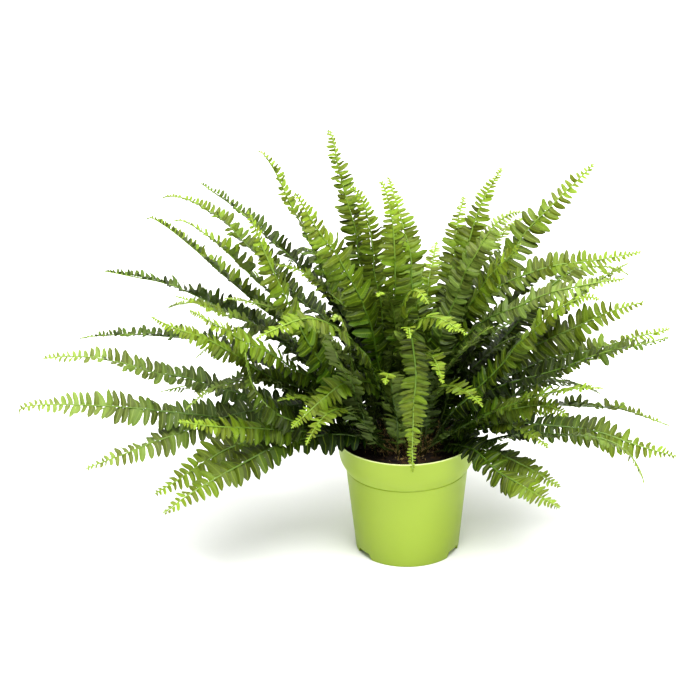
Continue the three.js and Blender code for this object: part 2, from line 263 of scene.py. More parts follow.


# Moulded polypropylene: waxy, evenly coloured right through and softly glossy, with the faint
# orange peel of the mould, and lets a little light in. The lip's top has a painted highlight.
moulded_polypropylene, tree, plastic = new_finish("moulded_polypropylene")
place = put(tree, "ShaderNodeTexCoord").outputs["Object"]
cloud = put(tree, "ShaderNodeTexNoise", {"Vector": place, "Scale": 1 / shade_patch, "Detail": 3})
shade = put(tree, "ShaderNodeMix", {0: cloud, 6: linear("#8BA12B"), 7: linear("#92A731")}, data_type="RGBA")
height = put(tree, "ShaderNodeSeparateXYZ", {0: place})
# Painted highlight: towards the top of the rim lip the colour is mixed towards a pale yellow-green.
lip_highlight = put(tree, "ShaderNodeMapRange",
          {"Value": height.outputs[2], "From Min": lip_highlight_low, "From Max": lip_highlight_high, "To Max": 0.85})
highlighted = put(tree, "ShaderNodeMix", {0: lip_highlight.outputs[0], 6: shade.outputs[2], 7: linear("#E0EBA6")},
            data_type="RGBA")
peel = put(tree, "ShaderNodeTexNoise", {"Vector": place, "Scale": 1 / orange_peel, "Detail": 2})
relief = put(tree, "ShaderNodeBump", {"Strength": 0.12, "Distance": 0.00008, "Height": peel})
smear = put(tree, "ShaderNodeTexNoise", {"Vector": place, "Scale": 1 / handling_smear, "Detail": 4})
rough = put(tree, "ShaderNodeMapRange", {"Value": smear, "To Min": 0.34, "To Max": 0.48})
tree.links.new(highlighted.outputs[2], plastic.inputs["Base Color"])
tree.links.new(rough.outputs[0], plastic.inputs["Roughness"])
tree.links.new(relief.outputs[0], plastic.inputs["Normal"])
plastic.inputs["IOR"].default_value = 1.49
plastic.inputs["Subsurface Weight"].default_value = 0.12
plastic.inputs["Subsurface Radius"].default_value = (0.002, 0.003, 0.0008)
plastic.inputs["Subsurface Scale"].default_value = 1
pot.data.materials.clear()
pot.data.materials.append(moulded_polypropylene)
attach(pot, "root")
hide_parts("pot")


# ---- The potting mix -----------------------------------------------------------------------------
# Damp peat with bark fines, filled to 7 mm under the rim and nearly black. It is one body with a
# crumbly top: loose clods lie on it, up to a few millimetres from its edge.

soil_level = 97.5 * mm
soil_gap = 0.3 * mm
soil_sides = 120
soil_heave = (-1.6 * mm, 1.2 * mm)
clod_count_per_m2 = 420000
clod_radius = (0.5 * mm, 2.2 * mm)
clod_roughness = 1.4 * mm
clods_out_to = 56 * mm
lumps_per_metre = 150
grains_per_metre = 700
peat_patch = 2.381 * mm
peat_crust = 0.625 * mm
rim_share = (soil_level - band_height) / (pot_height - band_height)
soil_radius = band_radius + (rim_radius - band_radius) * rim_share - wall - soil_gap


def soil_line(angle):
    top = [(0, soil_level, 0)]
    top += [(radius * mm, soil_level, 0) for radius in range(2, 56, 2)]
    return rounded(top + [(soil_radius, soil_level, 0.5 * mm)] + pot_inside(angle, soil_gap), steps=1)


soil = turn_round("potting_mix", soil_line, soil_sides)


def open_tree(name, inputs, output):
    """A Geometry Nodes tree with (name, kind) inputs and one geometry output, and what it is given."""
    tree = bpy.data.node_groups.new(name, "GeometryNodeTree")
    for title, kind in inputs:
        tree.interface.new_socket(title, in_out="INPUT", socket_type="NodeSocket" + kind)
    tree.interface.new_socket(output, in_out="OUTPUT", socket_type="NodeSocketGeometry")
    return tree, put(tree, "NodeGroupInput").outputs


def shaken(tree, geometry, noise, reach):
    """The geometry with its points moved about by a noise, at most half the reach each way."""
    centred = put(tree, "ShaderNodeVectorMath", {0: noise.outputs["Color"], 1: (0.5, 0.5, 0.5)},
                  operation="SUBTRACT")
    moved = put(tree, "ShaderNodeVectorMath", {0: centred, "Scale": reach}, operation="SCALE")
    return put(tree, "GeometryNodeSetPosition", {"Geometry": geometry, "Offset": moved})


crumbs, given = open_tree("crumbly top", (
    ("Body", "Geometry"), ("Level", "Float"), ("Spread", "Float"), ("Clods", "Float"),
    ("Finish", "Material")), "Body")
where = put(crumbs, "GeometryNodeInputPosition")
height = put(crumbs, "ShaderNodeSeparateXYZ", {0: where})
flat = put(crumbs, "ShaderNodeCombineXYZ", {0: height.outputs[0], 1: height.outputs[1]})
radius = put(crumbs, "ShaderNodeVectorMath", {0: flat}, operation="LENGTH").outputs["Value"]
on_top = put(crumbs, "FunctionNodeCompare", {0: height.outputs[2], 1: given["Level"]},
             operation="GREATER_EQUAL")
inside = put(crumbs, "FunctionNodeCompare", {0: radius, 1: given["Spread"]}, operation="LESS_THAN")
bare = put(crumbs, "FunctionNodeBooleanMath", {0: on_top, 1: inside}, operation="AND")
lumps = put(crumbs, "ShaderNodeTexNoise", {"Vector": where, "Scale": lumps_per_metre, "Detail": 4})
rise = put(crumbs, "ShaderNodeMapRange", {"Value": lumps, "From Min": 0.25, "From Max": 0.75,
                                          "To Min": soil_heave[0], "To Max": soil_heave[1]})
up = put(crumbs, "ShaderNodeCombineXYZ", {2: rise.outputs[0]})
ground = put(crumbs, "GeometryNodeSetPosition", {"Geometry": given["Body"], "Selection": bare, "Offset": up})
spots = put(crumbs, "GeometryNodeDistributePointsOnFaces",
            {"Mesh": ground, "Selection": bare, "Density": given["Clods"], "Seed": 7})
clod = put(crumbs, "GeometryNodeMeshIcoSphere", {"Radius": 1, "Subdivisions": 2})
tumble = put(crumbs, "FunctionNodeRandomValue", {1: (pi, pi, pi), "Seed": 3}, data_type="FLOAT_VECTOR")
size = put(crumbs, "FunctionNodeRandomValue", {2: 0, 3: 1, "Seed": 5})
grade = put(crumbs, "ShaderNodeMath", {0: size.outputs[1], 1: 4}, operation="POWER")
scale = put(crumbs, "ShaderNodeMapRange",
            {"Value": grade, "To Min": clod_radius[0], "To Max": clod_radius[1]})
squat = put(crumbs, "FunctionNodeRandomValue", {0: (0.6, 0.5, 0.4), 1: (1.4, 1, 0.8), "Seed": 9},
            data_type="FLOAT_VECTOR")
shape = put(crumbs, "ShaderNodeVectorMath", {0: squat, "Scale": scale.outputs[0]}, operation="SCALE")
clods = put(crumbs, "GeometryNodeInstanceOnPoints",
            {"Points": spots, "Instance": clod.outputs[0], "Rotation": tumble, "Scale": shape})
loose = put(crumbs, "GeometryNodeRealizeInstances", {"Geometry": clods})
grain = put(crumbs, "ShaderNodeTexNoise",
            {"Vector": put(crumbs, "GeometryNodeInputPosition"), "Scale": grains_per_metre})
broken = shaken(crumbs, loose, grain, clod_roughness)
both = put(crumbs, "GeometryNodeJoinGeometry")
crumbs.links.new(ground.outputs[0], both.inputs[0])
crumbs.links.new(broken.outputs[0], both.inputs[0])
plain = put(crumbs, "GeometryNodeRealizeInstances", {"Geometry": both})
coated = put(crumbs, "GeometryNodeSetMaterial", {"Geometry": plain, "Material": given["Finish"]})
put(crumbs, "NodeGroupOutput", {0: coated})


def set_inputs(modifier, values):
    """Sets a modifier's inputs, found by their names in its tree, through their identifiers."""
    for item in modifier.node_group.interface.items_tree:
        if item.item_type == "SOCKET" and item.in_out == "INPUT" and item.name in values:
            modifier[item.identifier] = values[item.name]


def brown_patches(tree, place, size, detail, pale_from, dark, pale):
    """Patches of a dark and a paler brown."""
    patch = put(tree, "ShaderNodeTexNoise", {"Vector": place, "Scale": 1 / size, "Detail": detail})
    browns = put(tree, "ShaderNodeValToRGB", {"Fac": patch})
    browns.color_ramp.elements[0].position = 0.35
    browns.color_ramp.elements[0].color = linear(dark)
    browns.color_ramp.elements[1].position = pale_from
    browns.color_ramp.elements[1].color = linear(pale)
    return browns


# Peat: fibrous, matt and very dark when damp, with patches of red-brown bark.
damp_peat, tree, peat = new_finish("damp_peat")
place = put(tree, "ShaderNodeTexCoord").outputs["Object"]
browns = brown_patches(tree, place, peat_patch, 3, 0.72, "#140D0A", "#38261B")
crust = put(tree, "ShaderNodeTexNoise", {"Vector": place, "Scale": 1 / peat_crust, "Detail": 4})
relief = put(tree, "ShaderNodeBump", {"Strength": 0.7, "Distance": 0.0004, "Height": crust})
tree.links.new(browns.outputs[0], peat.inputs["Base Color"])
tree.links.new(relief.outputs[0], peat.inputs["Normal"])
peat.inputs["Roughness"].default_value = 0.85

scatter = soil.modifiers.new("crumbly top", "NODES")
scatter.node_group = crumbs
set_inputs(scatter, {"Level": soil_level - 0.05 * mm, "Spread": clods_out_to,
                     "Clods": clod_count_per_m2, "Finish": damp_peat})
finish_mesh(soil)
soil.data.shade_smooth()
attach(soil, "root")
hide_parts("soil")


# ---- The fronds' lines ---------------------------------------------------------------------------
# A sword fern grows its fronds from the top of a short rhizome. Every stalk stands straight up out
# of the crown on a golden-angle spiral, and goes over into one arch.

collar_height = 101 * mm
stalk_foot = 92.3 * mm
feet_radius = 38 * mm
golden_angle = 137.508
# The rows go from the middle of the crown outwards: heading in degrees from +X, reach and tip
# height, where the arch bends (share of the reach, and height), leaflet length, roll of the blade
# and lift of its leaflets in degrees, and its age. The first five numbers come from other programs:
# 50 arches were solved to follow lines traced over the photograph, 7 at the back were guessed, and
# searches then moved them all apart. Two rows were changed afterwards: the reach at place 28, and
# the heights at place 48, lower here than its solid's. The other values were given one by one.
# In the last column, pale is no age: a greyer green, partly real tone and partly painted sheen.
fronds = (
    (175, 220, 295, 1, 315, 15, 10, 40, "grown"),
    (2, 200, 265, 0, 245, 16, 25, 5, "grown"),
    (4, 95, 305, 0.6, 315, 15, 45, -8, "pale"),
    (21, 165, 325, 0, 185, 18, 30, 0, "grown"),
    (-144, 210, 175, 0.25, 120, 15, -40, -8, "young"),
    (-6, 170, 255, 0.05, 230, 15, 20, 0, "pale"),
    (166, 175, 315, 0.2, 220, 15, 0, 28, "dark"),
    (-164, 85, 335, 0.15, 205, 17, -70, -8, "young"),
    (115, 65, 315, 0, 260, 15, 0, 10, "young"),
    (160, 115, 345, 0.9, 355, 16, 0, 20, "young"),
    (-171, 195, 315, 0.9, 330, 17, 0, 30, "grown"),
    (15, 235, 170, 0, 135, 16, 25, 0, "grown"),
    (-172, 310, 150, 1, 175, 17, -35, 0, "pale"),
    (-7, 200, 205, 0, 140, 16, 5, 10, "dark"),
    (165, 215, 115, 0.1, 175, 15, 0, -8, "dark"),
    (-136, 125, 160, 0.1, 220, 14, -40, -8, "young"),
    (49, 200, 120, 0.55, 225, 16, 15, -8, "grown"),
    (-165, 255, 105, 0.15, 175, 18, -30, -8, "pale"),
    (-32, 135, 160, 0.75, 180, 14, 50, -8, "young"),
    (155, 235, 280, 0.75, 305, 15, 0, 25, "grown"),
    (-150, 125, 335, 0.6, 180, 16, -60, -8, "young"),
    (45, 225, 70, 0.45, 155, 15, 0, -8, "dark"),
    (147, 205, 125, 0.6, 225, 16, -10, -8, "grown"),
    (150, 30, 335, 0.55, 340, 15, -30, 10, "young"),
    (66, 185, 200, 0.6, 295, 16, 0, -8, "grown"),
    (175, 255, 190, 0.5, 220, 15, 5, 30, "dark"),
    (-31, 120, 90, 0, 135, 14, 30, -8, "grown"),
    (-139, 210, 265, 0.9, 250, 13, -50, -8, "young"),
    (-130, 86, 255, 0.5, 120, 13, 0, -8, "pale"),
    (0, 175, 220, 0, 165, 18, 45, -8, "grown"),
    (-179, 225, 255, 0.35, 225, 16, 10, 35, "dark"),
    (-24, 150, 260, 0.8, 275, 15, 40, -8, "grown"),
    (96, 165, 215, 0.6, 295, 16, 10, -8, "grown"),
    (-162, 190, 245, 0, 125, 13, -30, -8, "grown"),
    (49, 80, 325, 0.15, 265, 15, 10, 5, "grown"),
    (-180, 25, 320, 0, 315, 15, -60, 5, "grown"),
    (-134, 165, 255, 0.3, 275, 15, -20, -8, "grown"),
    (72, 100, 280, 0.25, 205, 15, 0, 10, "grown"),
    (-56, 140, 245, 0.35, 265, 15, 20, -8, "young"),
    (-52, 155, 105, 0.1, 125, 15, 30, -8, "grown"),
    (122, 195, 185, 0.8, 280, 16, 0, -8, "dark"),
    (-151, 205, 95, 0.3, 165, 18, -30, -8, "grown"),
    (8, 200, 95, 0.35, 155, 15, -10, 20, "grown"),
    (-129, 155, 225, 1, 150, 15, -60, -8, "dark"),
    (-97, 55, 110, 1, 355, 13, 0, -8, "grown"),
    (80, 210, 95, 0.5, 195, 17, 0, 10, "dark"),
    (-159, 190, 90, 0.25, 165, 18, -35, -8, "grown"),
    (-8, 195, 100, 0.35, 140, 17, 35, -8, "grown"),
    (130, 75, 346, 0.9, 384, 15, 0, 5, "grown"),
    (-50, 40, 250, 0, 295, 15, 20, -8, "young"),
    (-54, 105, 300, 0.05, 200, 17, 70, -8, "young"),
    (-175, 270, 185, 0.8, 195, 17, -15, 15, "pale"),
    (-19, 180, 100, 0.95, 170, 12, -20, -8, "pale"),
    (106, 210, 125, 0.55, 235, 17, -10, -8, "grown"),
    (-130, 50, 235, 0.8, 260, 13, -40, -8, "pale"),
    (33, 190, 210, 0.5, 275, 15, 10, -8, "grown"),
    (152, 210, 175, 0.65, 220, 13, 0, 30, "pale"),
)


# Young fronds fill the clump, each joined at its foot to an older frond. One row each: that frond's
# place, then the young one's heading, reach and tip height, and where its arch bends. Search
# programs picked 29 of the rows: 19 in free places of the clump, and 10 where the photograph shows
# plant and a render showed none. The rows at the places 0, 33, 41 and 49 were changed from such picks.
young_fronds = (
    (0, 165, 120, 250, 0.3, 240),
    (5, -30, 70, 220, 0.5, 200),
    (7, -115, 40, 250, 0, 260),
    (8, 80, 80, 250, 0.3, 240),
    (13, -10, 70, 220, 0.5, 200),
    (15, -85, 70, 230, 0.5, 260),
    (17, -170, 70, 220, 0.5, 200),
    (19, 95, 80, 170, 0.1, 180),
    (21, 10, 80, 190, 0.3, 180),
    (23, -75, 90, 200, 0.1, 240),
    (26, 20, 140, 250, 0.3, 240),
    (27, 115, 110, 200, 0.5, 180),
    (28, -170, 140, 250, 0.3, 240),
    (29, 35, 80, 190, 0.1, 240),
    (31, -55, 80, 170, 0.1, 200),
    (32, 50, 160, 250, 0.3, 240),
    (33, -145, 100, 170, 0.5, 180),
    (34, 10, 160, 250, 0.6, 220),
    (35, 135, 80, 170, 0.5, 240),
    (37, 55, 110, 170, 0.5, 180),
    (39, -35, 110, 130, 0.6, 160),
    (41, -125, 110, 150, 0.6, 200),
    (43, 155, 80, 110, 0.2, 150),
    (44, -25, 160, 190, 0.5, 180),
    (45, 70, 110, 140, 0.2, 180),
    (46, -170, 160, 250, 0.2, 200),
    (47, -15, 80, 140, 0.2, 160),
    (49, -100, 55, 190, 0.4, 210),
    (50, 5, 140, 160, 0.8, 160),
    (53, 90, 110, 110, 0.6, 150),
    (54, -165, 160, 160, 0.6, 220),
    (55, 5, 90, 110, 0.6, 150),
    (56, -175, 140, 190, 0.8, 160),
)
young_leaflet = 13
young_lift = 8


def foot_of(place):
    radius = feet_radius * sqrt((place + 0.5) / len(fronds))
    angle = radians(golden_angle * place)
    return Vector((radius * cos(angle), radius * sin(angle), collar_height))


def spine_of(name, place, heading, reach, tip_height, lean, arch_height, rooted):
    """The middle line of one frond, a Bezier curve from the collar to the tip. A rooted one starts
    further down, at the bottom of its hole in the crown."""
    foot = foot_of(place)
    out = Vector((cos(radians(heading)), sin(radians(heading)), 0))
    bend = foot + out * reach * lean * mm
    bend.z = arch_height * mm
    tip = foot + out * reach * mm
    tip.z = tip_height * mm
    bottom = Vector((foot.x, foot.y, stalk_foot))
    handles = [
        (bottom, bottom, bottom.lerp(foot, 1 / 3)),
        (foot, bottom.lerp(foot, 2 / 3), foot.lerp(bend, 2 / 3)),
        (tip, tip.lerp(bend, 2 / 3), tip),
    ]
    if not rooted:
        del handles[0]
    curve = bpy.data.curves.new(name, "CURVE")
    curve.dimensions = "3D"
    curve.resolution_u = 24
    line = curve.splines.new("BEZIER")
    line.bezier_points.add(len(handles) - 1)
    for point, (middle, left, right) in zip(line.bezier_points, handles):
        point.co = middle
        point.handle_left = left
        point.handle_right = right
    return add_object(name, curve), line.calc_length(), out


# ---- The leaflets' patterns ----------------------------------------------------------------------
# A leaflet is a thin curved blade with a rounded ear at its root on the side of the frond's tip, a
# short point, and a sunken midrib. No two hang alike, so eight pairs are shaped, each one unit long
# and one unit wide, and every frond takes its leaflets from them.

leaflet_kinds = 8
leaflet_stations = (0, 0.09, 0.3, 0.55, 0.8, 0.94)
ear_side = (0.43, 0.69, 0.53, 0.5, 0.39, 0.18)
foot_side = (0.35, 0.47, 0.49, 0.47, 0.36, 0.16)
leaflet_rows = (-1, -0.5, 0, 0.5, 1)
leaflet_thickness = 0.022
first_pattern_seed = 40
patterns = bpy.data.collections.new("leaflet patterns")


def leaflet_pattern(kind, hand):
    draw = Random(first_pattern_seed + kind)
    sickle = draw.uniform(0.08, 0.5)
    droop = draw.uniform(-0.08, 0.32)
    fold = draw.uniform(-0.1, 0.16)
    twist = draw.uniform(-0.16, 0.2)
    ruffle = draw.uniform(0.015, 0.06)
    phase = draw.uniform(0, 2 * pi)
    body = bmesh.new()
    place = body.verts.layers.float_vector.new("leaflet_place")

    def vertex(along, across, half, side):
        y = across * half
        z = 0.03 * along - droop * along ** 2 + fold * abs(y) + twist * along * y
        z += ruffle * sin(phase + 9 * along) * abs(across)
        round_off = (1 - across ** 2) * min(1, along * 12, (1 - along) * 6)
        z += side * round_off * leaflet_thickness / 2
        made = body.verts.new((along, hand * (y + sickle * along ** 2), z))
        made[place] = (along, across, side)
        return made

    columns = {}
    for side in (1, -1):
        columns[side] = []
        for station, (along, ear, low) in enumerate(zip(leaflet_stations, ear_side, foot_side)):
            column = []
            for row, across in enumerate(leaflet_rows):
                rim = station == 0 or abs(across) == 1
                if rim and side == -1:
                    column.append(columns[1][station][row])
                else:
                    column.append(vertex(along, across, ear if across > 0 else low, 0 if rim else side))
            columns[side].append(column)
    tip = vertex(1, 0, 0, 0)
    for side in (1, -1):
        flip = side * hand < 0
        for column, following in zip(columns[side], columns[side][1:]):
            for row in range(len(leaflet_rows) - 1):
                corners = (column[row], following[row], following[row + 1], column[row + 1])
                body.faces.new(corners[::-1] if flip else corners)
        last = columns[side][-1]
        for row in range(len(leaflet_rows) - 1):
            corners = (last[row], tip, last[row + 1])
            body.faces.new(corners[::-1] if flip else corners)
    for edge in body.edges:
        if all(corner[place].z == 0 for corner in edge.verts):
            edge.smooth = False
    name = f"leaflet_{kind}_{'a' if hand > 0 else 'b'}"
    patterns.objects.link(bpy.data.objects.new(name, mesh_from(name, body)))


for kind in range(leaflet_kinds):
    for hand in (1, -1):
        leaflet_pattern(kind, hand)


# ---- The crown -----------------------------------------------------------------------------------
# A low woody rhizome that the stalks stand in. Old stalk bases and knobs break its surface, and thin
# papery scales of a golden brown lie over it.

crown_radius = 41.7 * mm
crown_rise = 2.4 * mm
crown_bottom = 90.8 * mm
crown_sides = 120
crown_rings = 20
knobs_per_metre = 190
bark_patch = 3.846 * mm
bark_ridge = 0.9091 * mm
knob_heave = (0.9 * mm, -2.2 * mm)
scale_length = 3.6 * mm
scale_count_per_m2 = 420000
stub_height = 6 * mm
stub_count_per_m2 = 11000


def crown_line(angle):
    shares = [step / crown_rings for step in range(crown_rings + 1)]
    top = [(crown_radius * share, soil_level + crown_rise * cos(share * pi / 2), 0) for share in shares]
    return rounded(top + [(crown_radius, crown_bottom, 0.5 * mm), (0, crown_bottom, 0)], steps=1)


def closed_shape(name, rings, sides):
    """A slim closed shape along +Z from rings of (height, half width, half depth, bend)."""
    body = bmesh.new()
    loops = []
    for height, half_width, half_depth, bend in rings:
        corners = [2 * pi * side / sides for side in range(sides)]
        loops.append([body.verts.new((half_width * cos(turn), half_depth * sin(turn) + bend, height))
                      for turn in corners])
    for loop, following in zip(loops, loops[1:]):
        for side in range(sides):
            beside = (side + 1) % sides
            body.faces.new((loop[side], loop[beside], following[beside], following[side]))
    body.faces.new(loops[0][::-1])
    body.faces.new(loops[-1])
    return add_object(name, mesh_from(name, body))


papery_scale = closed_shape("papery_scale", (
    (0, 0.1, 0.03, 0), (0.2, 0.13, 0.02, 0.02), (0.6, 0.09, 0.015, 0.1), (1, 0.01, 0.01, 0.28)), 4)
old_stub = closed_shape("old_stub", (
    (-0.3, 0.26, 0.24, 0), (0.3, 0.2, 0.18, 0.03), (0.8, 0.16, 0.14, 0.09), (1, 0.09, 0.08, 0.1)), 7)

knobs, given = open_tree("scaly crown", (
    ("Body", "Geometry"), ("Level", "Float"), ("Scale", "Object"), ("Stub", "Object"),
    ("Scale Length", "Float"), ("Stub Height", "Float"), ("Wood", "Material"),
    ("Papery", "Material")), "Crown")
where = put(knobs, "GeometryNodeInputPosition")
height = put(knobs, "ShaderNodeSeparateXYZ", {0: where})
on_top = put(knobs, "FunctionNodeCompare", {0: height.outputs[2], 1: given["Level"]},
             operation="GREATER_EQUAL")
lumps = put(knobs, "ShaderNodeTexVoronoi", {"Vector": where, "Scale": knobs_per_metre},
            feature="SMOOTH_F1")
rise = put(knobs, "ShaderNodeMapRange", {"Value": lumps.outputs["Distance"], "From Max": 0.7,
                                         "To Min": knob_heave[0], "To Max": knob_heave[1]})
up = put(knobs, "ShaderNodeCombineXYZ", {2: rise.outputs[0]})
knobbly = put(knobs, "GeometryNodeSetPosition",
              {"Geometry": given["Body"], "Selection": on_top, "Offset": up})
wooden = put(knobs, "GeometryNodeSetMaterial", {"Geometry": knobbly, "Material": given["Wood"]})
joined = put(knobs, "GeometryNodeJoinGeometry")
for part, density, size, finish, tilt, seed in (
        ("Stub", stub_count_per_m2, "Stub Height", "Wood", 0.5, 21),
        ("Scale", scale_count_per_m2, "Scale Length", "Papery", 1.35, 22)):
    spots = put(knobs, "GeometryNodeDistributePointsOnFaces",
                {"Mesh": wooden, "Selection": on_top, "Density": density, "Seed": seed})
    lean = put(knobs, "FunctionNodeRandomValue",
               {0: (-tilt, -tilt, -pi), 1: (tilt, tilt, pi), "Seed": seed + 2}, data_type="FLOAT_VECTOR")
    grade = put(knobs, "FunctionNodeRandomValue", {2: 0.5, 3: 1.1, "Seed": seed + 4})
    long = put(knobs, "ShaderNodeMath", {0: grade.outputs[1], 1: given[size]}, operation="MULTIPLY")
    shape = put(knobs, "GeometryNodeObjectInfo", {"Object": given[part]})
    copies = put(knobs, "GeometryNodeInstanceOnPoints",
                 {"Points": spots, "Instance": shape.outputs["Geometry"], "Rotation": lean, "Scale": long})
    real = put(knobs, "GeometryNodeRealizeInstances", {"Geometry": copies})
    dressed = put(knobs, "GeometryNodeSetMaterial", {"Geometry": real, "Material": given[finish]})
    knobs.links.new(dressed.outputs[0], joined.inputs[0])
knobs.links.new(wooden.outputs[0], joined.inputs[0])
put(knobs, "NodeGroupOutput", {0: joined})


# Rhizome wood: dark brown, ridged and dull. The scales are thin, dry and golden, with a faint shine.
def crown_finish(name, dark, pale, roughness):
    made, tree, bark = new_finish(name)
    place = put(tree, "ShaderNodeTexCoord").outputs["Object"]
    browns = brown_patches(tree, place, bark_patch, 4, 0.68, dark, pale)
    ridges = put(tree, "ShaderNodeTexNoise", {"Vector": place, "Scale": 1 / bark_ridge, "Detail": 3})
    relief = put(tree, "ShaderNodeBump", {"Strength": 0.6, "Distance": 0.0004, "Height": ridges})
    tree.links.new(browns.outputs[0], bark.inputs["Base Color"])
    tree.links.new(relief.outputs[0], bark.inputs["Normal"])
    bark.inputs["Roughness"].default_value = roughness
    return made


rhizome_wood = crown_finish("rhizome_wood", "#2A1C10", "#5C4224", 0.8)
papery_finish = crown_finish("papery_scales", "#8C7238", "#D8C084", 0.5)

crown = turn_round("fern_crown", crown_line, crown_sides)
scaly = crown.modifiers.new("scaly crown", "NODES")
scaly.node_group = knobs
set_inputs(scaly, {"Level": soil_level + 0.1 * mm, "Scale": papery_scale, "Stub": old_stub,
                   "Scale Length": scale_length, "Stub Height": stub_height, "Wood": rhizome_wood,
                   "Papery": papery_finish})
finish_mesh(crown)
crown.data.shade_smooth()
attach(crown, "root")
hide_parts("crown")


# ---- The fronds ----------------------------------------------------------------------------------
# Each frond is one living piece: a round stalk that thins into a rib, and a row of leaflets down
# each side, which stand alternately, closer together and smaller towards the tip.

stalk_radius = 1.05 * mm
rib_tip_radius = 0.5 * mm
rib_points = 72
rib_sway = 90 * mm
sways_per_metre = 14
scaly_share = 0.1
hair_count_per_m2 = 260000
hair_length = (1.2 * mm, 3.2 * mm)
bare_share = 0.1
turned_share = 0.45
usual_leaflet = 15
leaflet_pitch = 4.9 * mm
pitch_power = 1.8
breadth_power = 0.8
crowding_power = 1.25
taper_power = 0.8
leaflet_luck = (0.82, 1.06)
forward_lean = (radians(4), radians(16))
leaflet_tilt = (radians(-22), radians(30))
last_leaflet = 0.995
own_droop_limit = radians(13)
shared_droop_limit = radians(18)
leaflet_stir = 4 * mm
stirs_per_metre = 70
least_width = 0.001

blade, given = open_tree("frond", (
    ("Spine", "Geometry"), ("Leaflets", "Int"), ("Leaflet Length", "Float"), ("Breadth", "Float"),
    ("First Leaflet", "Float"), ("Foot Share", "Float"), ("Roll", "Float"), ("Lift", "Float"),
    ("Level", "Vector"), ("Lowest", "Vector"), ("Highest", "Vector"), ("Seed", "Int"),
    ("Patterns", "Collection"), ("Scale", "Object"), ("Blade Finish", "Material"),
    ("Rib Finish", "Material"), ("Scale Finish", "Material")), "Frond")

# The rib follows the spine, and sways a little between its two ends.
fine = put(blade, "GeometryNodeResampleCurve", {"Curve": given["Spine"], "Count": rib_points})
along = put(blade, "GeometryNodeSplineParameter").outputs["Factor"]
sway = put(blade, "ShaderNodeTexNoise",
           {"Vector": put(blade, "GeometryNodeInputPosition"), "W": given["Seed"],
            "Scale": sways_per_metre, "Detail": 1}, noise_dimensions="4D")
rest = put(blade, "ShaderNodeMath", {0: 1, 1: along}, operation="SUBTRACT")
slack = put(blade, "ShaderNodeMath", {0: rest, 1: along}, operation="MULTIPLY")
reach = put(blade, "ShaderNodeMath", {0: slack, 1: rib_sway}, operation="MULTIPLY")
bowed = shaken(blade, fine, sway, reach)
marked = put(blade, "GeometryNodeStoreNamedAttribute",
             {"Geometry": bowed, "Name": "share", "Value": along})
thin = put(blade, "ShaderNodeMapRange",
           {"Value": along, "To Min": stalk_radius, "To Max": rib_tip_radius})
round_rib = put(blade, "GeometryNodeSetCurveRadius", {"Curve": marked, "Radius": thin.outputs[0]})
section = put(blade, "GeometryNodeCurvePrimitiveCircle", {"Resolution": 7, "Radius": 1})
rib = put(blade, "GeometryNodeCurveToMesh",
          {"Curve": round_rib, "Profile Curve": section.outputs[0], "Scale": thin.outputs[0],
           "Fill Caps": True})
rib_done = put(blade, "GeometryNodeSetMaterial", {"Geometry": rib, "Material": given["Rib Finish"]})

# Papery scales hang on the lowest part of the stalk.
from_foot = put(blade, "GeometryNodeInputNamedAttribute", {"Name": "share"})
scaly_part = put(blade, "FunctionNodeCompare", {0: from_foot.outputs[0], 1: scaly_share},
                 operation="LESS_THAN")
hair_spots = put(blade, "GeometryNodeDistributePointsOnFaces",
                 {"Mesh": rib, "Selection": scaly_part, "Density": hair_count_per_m2,
                  "Seed": given["Seed"]})
hair_bend = put(blade, "FunctionNodeRandomValue", {0: (-0.9, -0.9, -pi), 1: (0.9, 0.9, pi), "Seed": 31},
                data_type="FLOAT_VECTOR")
hair_size = put(blade, "FunctionNodeRandomValue", {2: hair_length[0], 3: hair_length[1], "Seed": 32})
hair = put(blade, "GeometryNodeObjectInfo", {"Object": given["Scale"]})
hairs = put(blade, "GeometryNodeInstanceOnPoints",
            {"Points": hair_spots, "Instance": hair.outputs["Geometry"], "Rotation": hair_bend,
             "Scale": hair_size.outputs[1]})
hairs_real = put(blade, "GeometryNodeRealizeInstances", {"Geometry": hairs})
hairs_done = put(blade, "GeometryNodeSetMaterial",
                 {"Geometry": hairs_real, "Material": given["Scale Finish"]})

# Where each leaflet stands: its rank runs from 0 at the blade's foot to 1 at the tip.
index = put(blade, "GeometryNodeInputIndex")
half_step = put(blade, "ShaderNodeMath", {0: index, 1: 0.5}, operation="ADD")
rank = put(blade, "ShaderNodeMath", {0: half_step, 1: given["Leaflets"]}, operation="DIVIDE")
left = put(blade, "ShaderNodeMath", {0: 1, 1: rank}, operation="SUBTRACT")
crowded = put(blade, "ShaderNodeMath", {0: left, 1: crowding_power}, operation="POWER")
spread = put(blade, "ShaderNodeMath", {0: 1, 1: crowded}, operation="SUBTRACT")
share = put(blade, "ShaderNodeMapRange",
            {"Value": spread, "To Min": given["First Leaflet"], "To Max": last_leaflet})
stand = put(blade, "GeometryNodeSampleCurve", {"Curves": bowed, "Factor": share.outputs[0]},
            mode="FACTOR")
odd = put(blade, "ShaderNodeMath", {0: index, 1: 2}, operation="MODULO")
hand = put(blade, "ShaderNodeMapRange", {"Value": odd, "To Min": -1, "To Max": 1})

# The blade's own plane: level across the arch, and rolled over further up the stalk.
lifted = put(blade, "ShaderNodeMapRange",
             {"Value": share.outputs[0], "From Min": given["Foot Share"], "From Max": turned_share},
             interpolation_type="SMOOTHSTEP")
turn = put(blade, "ShaderNodeMath", {0: lifted.outputs[0], 1: given["Roll"]}, operation="MULTIPLY")
across = put(blade, "ShaderNodeVectorRotate",
             {"Vector": given["Level"], "Axis": stand.outputs["Tangent"], "Angle": turn})
above = put(blade, "ShaderNodeVectorMath", {0: stand.outputs["Tangent"], 1: across},
            operation="CROSS_PRODUCT")
outward = put(blade, "ShaderNodeVectorMath", {0: across, "Scale": hand.outputs[0]}, operation="SCALE")
facing = put(blade, "FunctionNodeAxesToRotation", {0: outward, 1: above}, primary_axis="X",
             secondary_axis="Z")

